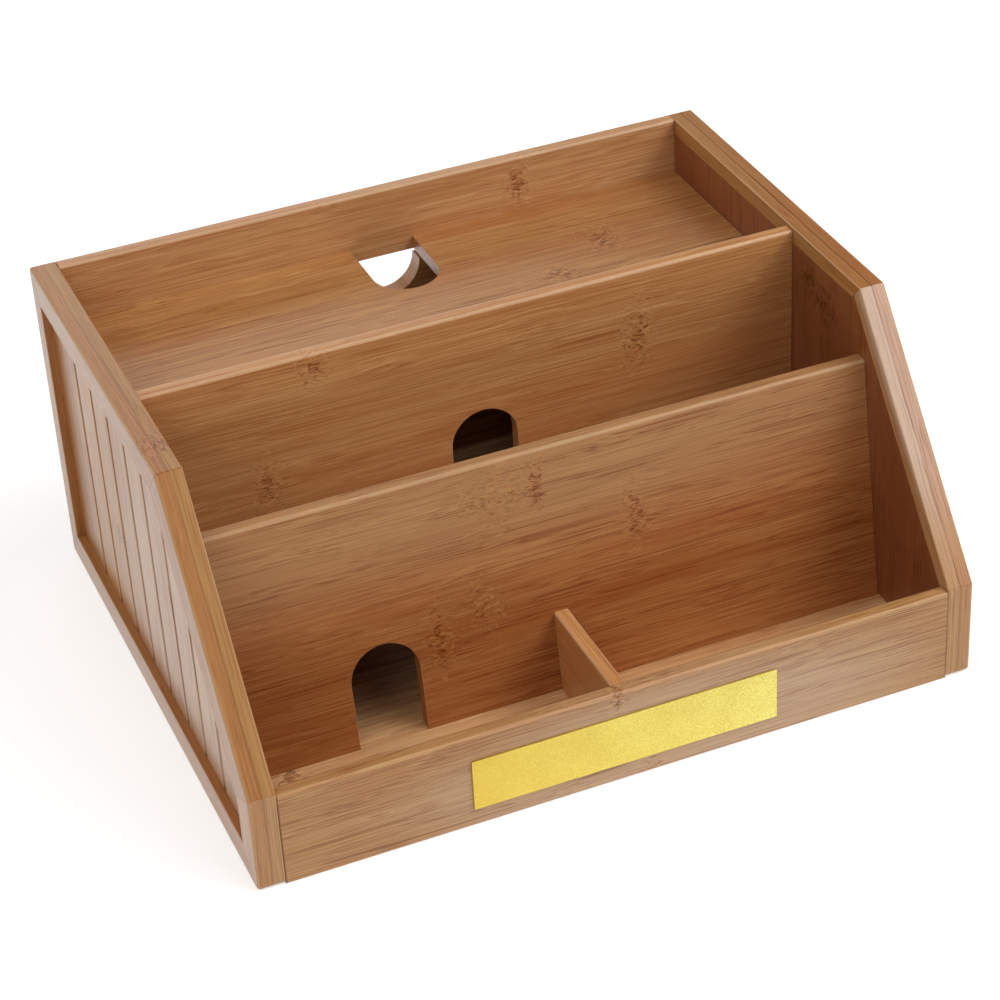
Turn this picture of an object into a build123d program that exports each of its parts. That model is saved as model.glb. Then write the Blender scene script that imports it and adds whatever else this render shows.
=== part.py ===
from build123d import *
import math
import os

# Bamboo charging station organizer, in millimetres.
# X runs left to right, +Y to the back, +Z up; the origin is under the middle of the whole organizer.

# Overall size
width = 216.0
depth = 179.0
height = 101.0
front_height = 30.8
bend_setback = 54.5

# Side frames and their beaded panels
side_thick = 7.9
bottom_rail_width = 9.5
back_stile_width = 8.2
top_rail_width = 9.3
slope_rail_width = 11.8
front_stile_width = 10.8
inner_strip = 5.0
panel_recess = 2.7
groove_pitch = 16.3
groove_width = 1.9
groove_depth = 1.1
corner_radius = 0.85
outer_arris = 0.8
inner_arris = 0.5

# Cross boards
board_thick = 4.5
board_arris = 1.1
front_board_drop = 0.6
rear_divider_drop = 1.0
rear_divider_setback = 94.8
deck_drop = 18.0
divider_foot_setback = 39.2
divider_rise = 75.3
divider_lean = 8.5
slot_floor_height = 36.5
partition_drop = 0.8
partition_arris = 0.8

# Cable openings: an upright slot with a half-round end
arch_width = 20.5
arch_length = 30.5
front_arch_offset = -53.6

# Rear access door
door_thick = 6.0
door_inset = 3.3
door_side_gap = 0.6
door_foot_gap = 0.8
door_top_gap = 1.2
door_arris = 0.5
stop_gap = 0.3
cleat_width = 8.0
cleat_depth = 7.0

# Butt hinges
hinge_inset = 34.1
leaf_length = 21.0
leaf_reach = 6.6
leaf_thick = 0.7
leaf_clear = 0.15
mortise_clear = 0.1
barrel_radius = 1.4
barrel_standoff = 1.7
barrel_clear = 0.2
knuckle_gap = 0.15
pin_radius = 0.6
pin_clear = 0.05
pin_head_radius = 1.0
pin_head_height = 0.5

# Countersunk screws
screw_spacing = 13.0
screw_radius = 0.7
screw_head_radius = 1.45
screw_head_height = 0.6
screw_point = 1.0
screw_tip_share = 0.25
base_screw_length = 3.6
door_screw_length = 8.0
screw_clear = 0.05
slot_width = 0.35
slot_depth = 0.3

# Magnetic catches
magnet_radius = 2.5
magnet_thick = 2.5
strike_radius = 3.0
strike_thick = 0.8
catch_drop = 12.0
catch_clear = 0.1

# Dowels in the ends of the cross boards
dowel_radius = 1.25
dowel_side_depth = 3.0
dowel_board_depth = 9.0
dowel_clear = 0.05
dowel_end_gap = 0.4

# Bare plate on the front board
plate_width = 91.5
plate_height = 16.4
plate_thick = 0.6
plate_foot = 5.9
plate_corner = 0.5

# Every cut runs this far past the face it leaves
overrun = 6.0

# Places worked out from the sizes above
front_y = (plate_thick - depth) / 2
back_y = front_y + depth
inner_x = width / 2 - side_thick
floor_z = board_thick
front_inner_y = front_y + board_thick
back_inner_y = back_y - board_thick
deck_top_z = height - deck_drop
deck_under_z = deck_top_z - board_thick
rear_front_y = front_y + rear_divider_setback
rear_back_y = rear_front_y + board_thick
slot_under_z = slot_floor_height - board_thick
foot_y = front_y + divider_foot_setback
lean = math.radians(divider_lean)
door_outer_y = back_y - door_inset
door_inner_y = door_outer_y - door_thick
door_foot_z = floor_z + door_foot_gap
door_top_z = deck_under_z - door_top_gap
stop_y = door_inner_y - stop_gap
axis_y = door_outer_y + barrel_standoff
axis_z = floor_z + door_foot_gap / 2
hinge_offset = inner_x - hinge_inset
catch_x = inner_x - cleat_width / 2
catch_z = door_top_z - catch_drop


def block(x_low, x_high, y_low, y_high, z_low, z_high):
    """Rectangular solid between two corners."""
    centre = Pos((x_low + x_high) / 2, (y_low + y_high) / 2, (z_low + z_high) / 2)
    return centre * Box(x_high - x_low, y_high - y_low, z_high - z_low)


def prism(outline, x_low, x_high):
    """Solid with a straight-sided outline in Y and Z, between two X places."""
    face = Plane.YZ.offset(x_low) * Polygon(*outline, align=None)
    return extrude(face, amount=x_high - x_low, dir=(1, 0, 0))


def rod_x(x_low, x_high, y, z, radius):
    """Round rod along X."""
    rod = Cylinder(radius, x_high - x_low, rotation=(0, 90, 0))
    return Pos((x_low + x_high) / 2, y, z) * rod


def rod_y(y_low, y_high, x, z, radius):
    """Round rod along Y."""
    rod = Cylinder(radius, y_high - y_low, rotation=(90, 0, 0))
    return Pos(x, (y_low + y_high) / 2, z) * rod


def spread(start, end, count):
    """Evenly spaced points on the line from start to end, half a step in from each end."""
    shares = [(step + 0.5) / count for step in range(count)]
    return [(start[0] + (end[0] - start[0]) * share, start[1] + (end[1] - start[1]) * share) for share in shares]


def inset(outline, widths):
    """Outline whose edges are moved inwards, each by its own width; edge i starts at corner i."""
    count = len(outline)
    lines = []
    for i in range(count):
        (y0, z0), (y1, z1) = outline[i], outline[(i + 1) % count]
        span = math.hypot(y1 - y0, z1 - z0)
        normal = ((z0 - z1) / span, (y1 - y0) / span)
        lines.append((normal, normal[0] * y0 + normal[1] * z0 + widths[i]))
    corners = []
    for i in range(count):
        (a, p), (b, q) = lines[i - 1], lines[i]
        cross = a[0] * b[1] - a[1] * b[0]
        corners.append(((p * b[1] - q * a[1]) / cross, (a[0] * q - b[0] * p) / cross))
    return corners


def arch_cut(plane, below):
    """Cutter for a slot with a half-round end, standing on the plane's X axis and running below it."""
    radius = arch_width / 2
    straight = arch_length - radius
    shaft = Pos(0, (straight - below) / 2) * Rectangle(arch_width, straight + below)
    crown = Pos(0, straight) * Circle(radius)
    return extrude(plane * (shaft + crown), amount=board_thick + overrun, both=True)


def divider_face_y(z):
    """Y of the leaning divider's front face at a height."""
    return foot_y + (z - floor_z) * math.tan(lean)


def divider_back_y(z):
    """Y of the leaning divider's back face at a height."""
    return divider_face_y(z) + board_thick / math.cos(lean)


def both_sides(solid):
    """The solid and its mirror image across the middle plane."""
    return [solid, mirror(solid, about=Plane.YZ)]


# Dowels: one row of places in Y and Z for each cross board
divider_top_z = floor_z + divider_rise
divider_mid_foot = ((divider_face_y(floor_z) + divider_back_y(floor_z)) / 2, floor_z)
divider_mid_top = ((divider_face_y(divider_top_z) + divider_back_y(divider_top_z)) / 2, divider_top_z)
rear_mid_y = (rear_front_y + rear_back_y) / 2
dowel_rows = {
    "front_board": spread((front_y + board_thick / 2, 0), (front_y + board_thick / 2, front_height), 2),
    "base_board": spread((front_inner_y, board_thick / 2), (door_inner_y, board_thick / 2), 3),
    "front_divider": spread(divider_mid_foot, divider_mid_top, 2),
    "slot_floor": spread(
        (divider_back_y(slot_under_z), slot_floor_height - board_thick / 2),
        (rear_front_y, slot_floor_height - board_thick / 2),
        2,
    ),
    "rear_divider": spread((rear_mid_y, slot_under_z), (rear_mid_y, height), 2),
    "tray_deck": spread(
        (rear_back_y, deck_top_z - board_thick / 2), (back_inner_y, deck_top_z - board_thick / 2), 2
    ),
    "back_board": spread((back_y - board_thick / 2, deck_under_z), (back_y - board_thick / 2, height), 2),
}


def drill_ends(board, name):
    """The board with its dowel holes bored in both ends."""
    for y, z in dowel_rows[name]:
        left = rod_x(-inner_x - overrun, -inner_x + dowel_board_depth, y, z, dowel_radius + dowel_clear)
        for bore in both_sides(left):
            board -= bore
    return board


def side_parts():
    """The left side's mitred frame members and beaded panel, drilled for the dowels."""
    outer_x = -width / 2
    face_x = outer_x + side_thick
    outline = [
        (front_y, 0),
        (back_y, 0),
        (back_y, height),
        (front_y + bend_setback, height),
        (front_y, front_height),
    ]
    names = ["bottom_rail", "back_stile", "top_rail", "slope_rail", "front_stile"]
    widths = [bottom_rail_width, back_stile_width, top_rail_width, slope_rail_width, front_stile_width]
    opening = inset(outline, widths)
    seat = inset(outline, [inner_strip] * len(outline))

    frame = prism(outline, outer_x, face_x)
    frame = fillet(frame.edges().filter_by(Axis.X), corner_radius)
    frame = fillet(frame.faces().sort_by(Axis.X)[0].edges(), outer_arris)
    frame = fillet(frame.faces().sort_by(Axis.X)[-1].edges(), inner_arris)
    frame -= prism(opening, outer_x - overrun, face_x + overrun)
    frame -= prism(seat, outer_x + panel_recess, face_x + overrun)

    panel = prism(seat, outer_x + panel_recess, face_x)
    # The first and last boards of the panel are half as wide again as the rest
    low_y, high_y = opening[0][0], opening[1][0]
    groove_count = round((high_y - low_y) / groove_pitch) - 2
    half = groove_width / 2 * (1 + overrun / groove_depth)
    panel_x = outer_x + panel_recess
    for step in range(groove_count):
        y = (low_y + high_y) / 2 + (step - (groove_count - 1) / 2) * groove_pitch
        tip = [(panel_x - overrun, y - half), (panel_x - overrun, y + half), (panel_x + groove_depth, y)]
        panel -= extrude(Plane.XY * Polygon(*tip, align=None), amount=height, dir=(0, 0, 1))

    parts = {}
    for i, name in enumerate(names):
        j = (i + 1) % len(names)
        sector = prism([outline[i], outline[j], opening[j], opening[i]], outer_x - overrun, face_x + overrun)
        parts[name] = frame & sector
    parts["beaded_panel"] = panel
    for row in dowel_rows.values():
        for y, z in row:
            bore = rod_x(face_x - dowel_side_depth, face_x + overrun, y, z, dowel_radius + dowel_clear)
            for name in parts:
                if (parts[name] & bore).volume > 0:
                    parts[name] -= bore
    return parts


def dowels():
    """Dowels of the left side, one for each place in the rows."""
    x_low = -inner_x - dowel_side_depth + dowel_end_gap
    x_high = -inner_x + dowel_board_depth - dowel_end_gap
    rods = [rod_x(x_low, x_high, y, z, dowel_radius) for row in dowel_rows.values() for y, z in row]
    return [chamfer(rod.edges().filter_by(GeomType.CIRCLE), dowel_end_gap / 2) for rod in rods]


def front_board():
    """Low board across the front, flush with the front stiles."""
    board = block(-inner_x, inner_x, front_y, front_inner_y, 0, front_height - front_board_drop)
    top = board.faces().sort_by(Axis.Z)[-1]
    board = fillet(top.edges().filter_by(Axis.X), board_arris)
    face = board.faces().sort_by(Axis.Y)[0]
    board = fillet(face.edges().filter_by(Axis.X).sort_by(Axis.Z)[0], corner_radius)
    return drill_ends(board, "front_board")


def base_board():
    """Bottom board, mortised at the back for the fixed hinge leaves."""
    board = block(-inner_x, inner_x, front_inner_y, door_outer_y, 0, board_thick)
    for x in (-hinge_offset, hinge_offset):
        board -= leaf_mortise(x, axis_z - leaf_clear - leaf_thick, floor_z + overrun)
        for screw_x in screw_places(x):
            pilot_z = axis_z - leaf_clear - base_screw_length - screw_clear
            board -= pilot(screw_x, pilot_z, floor_z + overrun)
    return drill_ends(board, "base_board")


def back_board():
    """Upper back board, from the deck's underside to the top of the sides."""
    board = block(-inner_x, inner_x, back_inner_y, back_y, deck_under_z, height)
    top = board.faces().sort_by(Axis.Z)[-1]
    board = fillet(top.edges().filter_by(Axis.X), board_arris)
    return drill_ends(board, "back_board")


def tray_deck():
    """Floor of the top tray, with a cable slot at the back."""
    board = block(-inner_x, inner_x, rear_back_y, back_inner_y, deck_under_z, deck_top_z)
    plane = Plane(origin=(0, back_inner_y, deck_top_z), x_dir=(1, 0, 0), z_dir=(0, 0, -1))
    board -= arch_cut(plane, overrun)
    return drill_ends(board, "tray_deck")


def rear_divider():
    """Upright board between the tray and the rear slot, with a cable arch on the slot floor."""
    board = block(-inner_x, inner_x, rear_front_y, rear_back_y, slot_under_z, height - rear_divider_drop)
    top = board.faces().sort_by(Axis.Z)[-1]
    board = fillet(top.edges().filter_by(Axis.X), board_arris)
    plane = Plane(origin=(0, rear_front_y, slot_floor_height), x_dir=(1, 0, 0), z_dir=(0, -1, 0))
    board -= arch_cut(plane, board_thick + overrun)
    return drill_ends(board, "rear_divider")


def slot_floor():
    """Raised floor of the rear slot, between the two dividers."""
    outline = [
        (divider_back_y(slot_under_z), slot_under_z),
        (rear_front_y, slot_under_z),
        (rear_front_y, slot_floor_height),
        (divider_back_y(slot_floor_height), slot_floor_height),
    ]
    return drill_ends(prism(outline, -inner_x, inner_x), "slot_floor")


def front_divider():
    """Leaning board behind the front bay, with a cable arch at its left."""
    outline = [
        (foot_y, floor_z),
        (divider_back_y(floor_z), floor_z),
        (divider_back_y(divider_top_z), divider_top_z),
        (divider_face_y(divider_top_z), divider_top_z),
    ]
    board = prism(outline, -inner_x, inner_x)
    long_edges = board.edges().filter_by(Axis.X).sort_by(Axis.Z)
    board = fillet(long_edges[-2:], board_arris)
    normal = (0, -math.cos(lean), math.sin(lean))
    plane = Plane(origin=(front_arch_offset, foot_y, floor_z), x_dir=(1, 0, 0), z_dir=normal)
    board -= arch_cut(plane, overrun)
    return drill_ends(board, "front_divider")


def short_partition():
    """Small partition in the middle of the front bay."""
    top_z = front_height - front_board_drop - partition_drop
    outline = [
        (front_inner_y, floor_z),
        (divider_face_y(floor_z), floor_z),
        (divider_face_y(top_z), top_z),
        (front_inner_y, top_z),
    ]
    board = prism(outline, -board_thick / 2, board_thick / 2)
    top = board.faces().sort_by(Axis.Z)[-1]
    return fillet(top.edges().filter_by(Axis.Y), partition_arris)


def stop_cleat():
    """Left batten that the door closes against, bored for its magnet."""
    cleat = block(-inner_x, -inner_x + cleat_width, stop_y - cleat_depth, stop_y, floor_z, deck_under_z)
    return cleat - rod_y(stop_y - magnet_thick, stop_y + overrun, -catch_x, catch_z, magnet_radius + catch_clear)


def magnet():
    """Left disc magnet, flush with its batten."""
    return rod_y(stop_y - magnet_thick, stop_y, -catch_x, catch_z, magnet_radius)


def strike():
    """Left steel disc, flush with the door's inner face."""
    return rod_y(door_inner_y, door_inner_y + strike_thick, -catch_x, catch_z, strike_radius)


def rear_door():
    """Access door with a half-round finger notch, hinged along its foot."""
    side_x = inner_x - door_side_gap
    board = block(-side_x, side_x, door_inner_y, door_outer_y, door_foot_z, door_top_z)
    board = fillet(board.faces().sort_by(Axis.Y)[-1].edges(), door_arris)
    board -= rod_y(door_inner_y - overrun, door_outer_y + overrun, 0, door_top_z, arch_width / 2)
    strike_end_y = door_inner_y + strike_thick
    left = rod_y(door_inner_y - overrun, strike_end_y, -catch_x, catch_z, strike_radius + catch_clear)
    for strike_seat in both_sides(left):
        board -= strike_seat
    for x in (-hinge_offset, hinge_offset):
        board -= leaf_mortise(x, door_foot_z - overrun, axis_z + leaf_clear + leaf_thick)
        for screw_x in screw_places(x):
            pilot_z = axis_z + leaf_clear + door_screw_length + screw_clear
            board -= pilot(screw_x, door_foot_z - overrun, pilot_z)
    return board


def leaf_mortise(x, z_low, z_high):
    """Cutter that lets one hinge leaf into the wood."""
    half = leaf_length / 2 + mortise_clear
    return block(x - half, x + half, axis_y - leaf_reach - mortise_clear, axis_y + overrun, z_low, z_high)


def screw_places(x):
    """X of the two screws of the hinge at x."""
    return (x - screw_spacing / 2, x + screw_spacing / 2)


def screw_y():
    """Y of the hinge screws, in the middle of the leaf that lies on the wood."""
    return (axis_y - leaf_reach + door_outer_y) / 2


def pilot(x, z_low, z_high):
    """Cutter for a screw's hole in the wood."""
    hole = Cylinder(screw_radius + screw_clear, z_high - z_low)
    return Pos(x, screw_y(), (z_low + z_high) / 2) * hole


def screw_body(length, grow):
    """Countersunk screw pointing down, its head's top at the origin, grown all round by a clearance."""
    head = Cone(screw_radius + grow, screw_head_radius + grow, screw_head_height)
    shank_length = length - screw_head_height - screw_point
    shank = Cylinder(screw_radius + grow, shank_length)
    point = Cone(screw_radius * screw_tip_share, screw_radius + grow, screw_point)
    body = Pos(0, 0, -screw_head_height / 2) * head
    body += Pos(0, 0, -screw_head_height - shank_length / 2) * shank
    return body + Pos(0, 0, screw_point / 2 - length) * point


def screw(length):
    """Countersunk screw with a straight driver slot."""
    slot = Box(screw_head_radius + overrun, slot_width, slot_depth)
    return screw_body(length, 0) - Pos(0, 0, -slot_depth / 2) * slot


def hinge_leaf(x, fixed):
    """One leaf of the hinge at x: the fixed leaf has the outer knuckles, the door's leaf the middle one."""
    half = leaf_length / 2
    third = leaf_length / 3
    if fixed:
        z_low, z_high = axis_z - leaf_clear - leaf_thick, axis_z - leaf_clear
    else:
        z_low, z_high = axis_z + leaf_clear, axis_z + leaf_clear + leaf_thick
    outer = [(x - half, x - half + third), (x + half - third, x + half)]
    middle = [(x - half + third + knuckle_gap, x + half - third - knuckle_gap)]
    own, other = (outer, middle) if fixed else (middle, outer)
    leaf = block(x - half, x + half, axis_y - leaf_reach, axis_y, z_low, z_high)
    for low, high in other:
        reach = barrel_radius + barrel_clear
        leaf -= rod_x(low - knuckle_gap, high + knuckle_gap, axis_y, axis_z, reach)
    for low, high in own:
        leaf += rod_x(low, high, axis_y, axis_z, barrel_radius)
    bore_radius = pin_radius + pin_clear
    leaf -= rod_x(x - half - overrun, x + half + overrun, axis_y, axis_z, bore_radius)
    for screw_x in screw_places(x):
        turn = 0 if fixed else 180
        seat_z = z_high if fixed else z_low
        cutter = screw_body(base_screw_length if fixed else door_screw_length, screw_clear)
        leaf -= Pos(screw_x, screw_y(), seat_z) * Rot(turn, 0, 0) * cutter
    return leaf


def hinge_screws(fixed):
    """The four screws that hold the fixed leaves, or those that hold the door's leaves."""
    length = base_screw_length if fixed else door_screw_length
    seat_z = axis_z - leaf_clear if fixed else axis_z + leaf_clear
    turn = 0 if fixed else 180
    places = [screw_x for x in (-hinge_offset, hinge_offset) for screw_x in screw_places(x)]
    return [Pos(x, screw_y(), seat_z) * Rot(turn, 0, 0) * screw(length) for x in places]


def hinge_pin(x):
    """Hinge pin with a round head at each end of the barrel."""
    half = leaf_length / 2
    pin = rod_x(x - half, x + half, axis_y, axis_z, pin_radius)
    for end, out in ((x - half, -1), (x + half, 1)):
        low, high = sorted((end, end + out * pin_head_height))
        pin += rod_x(low, high, axis_y, axis_z, pin_head_radius)
    return pin


def nameplate():
    """Thin bare plate on the middle of the front board."""
    plate = block(
        -plate_width / 2, plate_width / 2, front_y - plate_thick, front_y, plate_foot, plate_foot + plate_height
    )
    return fillet(plate.edges().filter_by(Axis.Y), plate_corner)


def save(name, solids):
    """Write one node, as a single solid or a group of separate solids."""
    if isinstance(solids, list):
        solids = Compound(children=[piece.solid() for piece in solids])
    export_step(solids, f"parts/{name}.step")


os.makedirs("parts", exist_ok=True)

for part_name, left_part in side_parts().items():
    left_solid, right_solid = both_sides(left_part)
    save(f"left_{part_name}", left_solid)
    save(f"right_{part_name}", right_solid)

left_dowels = dowels()
save("left_dowels", left_dowels)
save("right_dowels", [mirror(rod, about=Plane.YZ) for rod in left_dowels])

save("front_board", front_board())
save("base_board", base_board())
save("back_board", back_board())
save("tray_deck", tray_deck())
save("rear_divider", rear_divider())
save("slot_floor", slot_floor())
save("front_divider", front_divider())
save("short_partition", short_partition())
save("nameplate", nameplate())

left_cleat, right_cleat = both_sides(stop_cleat())
save("left_stop_cleat", left_cleat)
save("right_stop_cleat", right_cleat)
save("catch_magnets", both_sides(magnet()))
save("strike_plates", both_sides(strike()))

save("rear_door", rear_door())
for side_name, hinge_x in (("left", -hinge_offset), ("right", hinge_offset)):
    save(f"{side_name}_hinge_base_leaf", hinge_leaf(hinge_x, True))
    save(f"{side_name}_hinge_door_leaf", hinge_leaf(hinge_x, False))
save("hinge_pins", [hinge_pin(-hinge_offset), hinge_pin(hinge_offset)])
save("base_hinge_screws", hinge_screws(True))
save("door_hinge_screws", hinge_screws(False))
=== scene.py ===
"""Looks of a bamboo desktop charging organizer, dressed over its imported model.

Lengths are in millimetres until a mesh is written, which is in metres, in the model's own frame:
X to the right, Y to the back, Z up, with the origin under the middle of the organizer.
"""

import logging
import math
from collections.abc import Iterable, Sequence
from dataclasses import dataclass, replace
from enum import Enum

import bmesh
import bpy
import numpy as np
from bpy.types import Material, NodeSocket, NodeTree, Object
from mathutils import Matrix, Vector

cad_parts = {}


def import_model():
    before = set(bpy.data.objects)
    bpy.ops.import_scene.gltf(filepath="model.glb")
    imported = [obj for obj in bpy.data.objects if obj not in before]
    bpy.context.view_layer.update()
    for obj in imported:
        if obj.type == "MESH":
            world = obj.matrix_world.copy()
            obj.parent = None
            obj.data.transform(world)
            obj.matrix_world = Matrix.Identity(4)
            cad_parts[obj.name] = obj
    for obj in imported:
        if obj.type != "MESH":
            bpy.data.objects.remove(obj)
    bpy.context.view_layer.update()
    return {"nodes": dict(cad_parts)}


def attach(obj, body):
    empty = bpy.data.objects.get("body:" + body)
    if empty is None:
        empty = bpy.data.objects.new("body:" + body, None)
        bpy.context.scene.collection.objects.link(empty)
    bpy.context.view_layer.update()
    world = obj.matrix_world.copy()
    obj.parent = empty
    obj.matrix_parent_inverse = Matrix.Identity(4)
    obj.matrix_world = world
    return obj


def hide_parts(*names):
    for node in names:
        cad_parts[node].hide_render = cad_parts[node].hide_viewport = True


MM = 0.001
EASE = "ease"
ROUND_STEPS = 4
WELD = 1e-7
SHARP = math.radians(38)
log = logging.getLogger("organizer")


# Meshes


def shell(name: str, rings: np.ndarray, ease: np.ndarray) -> Object:
    """Closed shell through a stack of rings, with a flat face over the first ring and the last.

    Point (i, j) is joined to (i + 1, j) and (i, j + 1), and j runs round and meets itself.

    Args:
        name: the piece's name.
        rings: points in millimetres, as rings x points in a ring x 3.
        ease: how much of an eased edge each point is, from 0 to 1, which sets its rubbed wear and painted highlight,
            or -1 in a hollow that is painted dark as shade, as rings x points in a ring.

    Returns:
        The new object, linked to the scene.
    """
    count, around = rings.shape[:2]
    index = np.arange(count * around).reshape(count, around)
    turned = np.roll(index, -1, axis=1)
    quads = np.stack([index[:-1], turned[:-1], turned[1:], index[1:]], axis=-1).reshape(-1, 4)
    caps = [index[0, ::-1].tolist(), index[-1].tolist()]
    mesh = bpy.data.meshes.new(name)
    mesh.from_pydata((rings.reshape(-1, 3) * MM).tolist(), [], quads.tolist() + caps)
    layer = mesh.attributes.new(EASE, "FLOAT", "POINT")
    layer.data.foreach_set("value", ease.reshape(-1).astype(np.float32))
    work = bmesh.new()
    work.from_mesh(mesh)
    bmesh.ops.remove_doubles(work, verts=work.verts, dist=WELD)
    bmesh.ops.dissolve_degenerate(work, edges=work.edges, dist=WELD / 10)
    bmesh.ops.recalc_face_normals(work, faces=work.faces)
    work.to_mesh(mesh)
    work.free()
    mesh.shade_smooth()
    mesh.set_sharp_from_angle(angle=SHARP)
    piece = bpy.data.objects.new(name, mesh)
    bpy.context.scene.collection.objects.link(piece)
    weigh = piece.modifiers.new("flat_faces", "WEIGHTED_NORMAL")
    weigh.keep_sharp = True
    weigh.weight = 100
    return piece


def mitres(outline: np.ndarray) -> np.ndarray:
    """Inward step of each corner that moves both its edges in by one: m = (p + q) / (1 + p.q).

    Args:
        outline: corners of a closed outline, anticlockwise, as points x 2.

    Returns:
        The steps, with p and q the inward unit normals of the edges that meet there.
    """
    edges = np.roll(outline, -1, axis=0) - outline
    edges /= np.linalg.norm(edges, axis=1, keepdims=True)
    after = np.stack([-edges[:, 1], edges[:, 0]], axis=1)
    before = np.roll(after, 1, axis=0)
    return (before + after) / (1 + np.sum(before * after, axis=1, keepdims=True))


def quarter_turn() -> np.ndarray:
    """Angles from 0 to a right angle, at the ends of the quads in one quarter round."""
    return np.linspace(0, math.pi / 2, ROUND_STEPS + 1)


def plate_rings(
    outline: np.ndarray, inward: np.ndarray, radius: np.ndarray, thick: float
) -> tuple[np.ndarray, np.ndarray]:
    """Rings of a plate whose two faces meet its rim in quarter rounds.

    At angle t from the face to the rim, the ring lies inward by r (1 - sin t) and down by r (1 - cos t).

    Args:
        outline: the rim, anticlockwise, as points x 2.
        inward: each point's whole step inward at the faces.
        radius: each point's depth of round.
        thick: the plate's thickness.

    Returns:
        The rings as rings x points x 3, and how much of an eased edge each point is: sin 2t.
    """
    turn = quarter_turn()
    flat = outline[None] + inward[None] * (1 - np.sin(turn))[:, None, None]
    deep = radius[None] * (1 - np.cos(turn))[:, None]
    near = np.concatenate([flat, deep[..., None]], axis=2)
    far = near[::-1].copy()
    far[..., 2] = thick - far[..., 2]
    wear_and_painted_light = np.broadcast_to(np.sin(2 * turn)[:, None], deep.shape)
    return np.concatenate([near, far]), np.concatenate([wear_and_painted_light, wear_and_painted_light[::-1]])


def placed(rings: np.ndarray, origin: Sequence[float], axes: Sequence[Sequence[float]]) -> np.ndarray:
    """Points carried from a board's own axes to the model's: origin + a A + b B + c C."""
    return np.asarray(origin, float) + rings @ np.asarray(axes, float)


def arch(middle: float, foot: float, width: float, length: float, steps: int = 28) -> np.ndarray:
    """Outline of an upright slot with a half-round end, from its left foot over the crown to its right foot.

    Args:
        middle: where it stands along the board.
        foot: height of its foot.
        width: across the slot.
        length: from the foot to the crown.
        steps: chords in the half round.

    Returns:
        Points (m - r cos t, s + r sin t) between the two feet, as points x 2.
    """
    r = width / 2
    t = np.linspace(0, math.pi, steps + 1)
    crown = np.stack([middle - r * np.cos(t), foot + length - r + r * np.sin(t)], axis=1)
    return np.concatenate([[[middle - r, foot]], crown, [[middle + r, foot]]])


@dataclass(frozen=True)
class Board:
    """Flat board whose long top edges are rounded and whose other edges are only just broken."""

    half_length: float
    height: float
    thick: float
    top_round: float = 1.1
    broken: float = 0.18
    foot_round: float = 0.18
    opening: np.ndarray | None = None

    def rings(self) -> tuple[np.ndarray, np.ndarray]:
        """Works out the board's rings, along it, up it and through it, with its opening in the lower edge.

        Returns:
            The rings, and how much of an eased edge each point is.
        """
        half, top = self.half_length, self.height
        below = top - 1.5 * self.top_round
        above = 1.5 * self.foot_round
        low = [[-half, above], [-half, 0.0]]
        if self.opening is not None:
            low += self.opening.tolist()
        high = [[half, 0.0], [half, above], [half, below], [half, top], [-half, top], [-half, below]]
        outline = np.array(low + high)
        radius = np.full(len(outline), self.broken)
        inward = mitres(outline) * self.broken
        crest = slice(len(outline) - 3, len(outline) - 1)
        radius[crest] = self.top_round
        inward[crest] = (0.0, -self.top_round)
        foot = [1, len(low)]
        radius[foot] = self.foot_round
        inward[foot] = (0.0, self.foot_round)
        return plate_rings(outline, inward, radius, self.thick)


# Finishes


def linear(code: str) -> tuple[float, float, float, float]:
    """Linear colour of an sRGB hex code such as #C79A68: (c + 0.055) / 1.055 to the power 2.4 above the toe."""
    parts = [int(code[i : i + 2], 16) / 255 for i in (1, 3, 5)]
    return *(c / 12.92 if c <= 0.04045 else ((c + 0.055) / 1.055) ** 2.4 for c in parts), 1.0


def add(
    tree: NodeTree, kind: str, inputs: dict | Sequence = (), out: int | str = 0, **settings: object
) -> NodeSocket | None:
    """Adds one shader node.

    Args:
        tree: the tree that it goes into.
        kind: the node's type, without the ShaderNode that each begins with.
        inputs: its sockets by name or number, or in order, each with a value or the socket that feeds it.
        out: the output that is wanted.
        settings: its own properties.

    Returns:
        That output, or None for a node that has none.
    """
    node = tree.nodes.new(f"ShaderNode{kind}")
    for key, value in settings.items():
        setattr(node, key, value)
    for key, value in inputs.items() if isinstance(inputs, dict) else enumerate(inputs):
        if isinstance(value, NodeSocket):
            tree.links.new(value, node.inputs[key])
        else:
            node.inputs[key].default_value = value
    return node.outputs[out] if len(node.outputs) else None


def blank(name: str) -> tuple[Material, NodeTree]:
    """Starts a material with nothing in its node tree.

    Args:
        name: the material's name.

    Returns:
        The material and its tree.
    """
    material = bpy.data.materials.new(name)
    material.use_nodes = True
    material.node_tree.nodes.clear()
    return material, material.node_tree


def dress(piece: Object, material: Material) -> None:
    """Gives the whole piece one material."""
    piece.data.materials.clear()
    piece.data.materials.append(material)


X, Y, Z, MINUS_Y = (1.0, 0.0, 0.0), (0.0, 1.0, 0.0), (0.0, 0.0, 1.0), (0.0, -1.0, 0.0)


class Lay(Enum):
    """How a piece's bamboo lies: along the grain, across it on the wide face, and through the thickness."""

    UPRIGHT_BOARD = (X, Z, MINUS_Y)
    FLAT_BOARD = (X, Y, Z)
    RAIL = (Y, Z, X)
    STILE = (Z, MINUS_Y, X)
    SLOPE = ((0.0, 0.6132, 0.7899), (0.0, -0.7899, 0.6132), X)

    def turn(self) -> tuple[float, float, float]:
        """Angles that turn the model's axes to this lay's."""
        return tuple(Matrix(self.value).to_euler("XYZ"))


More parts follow.
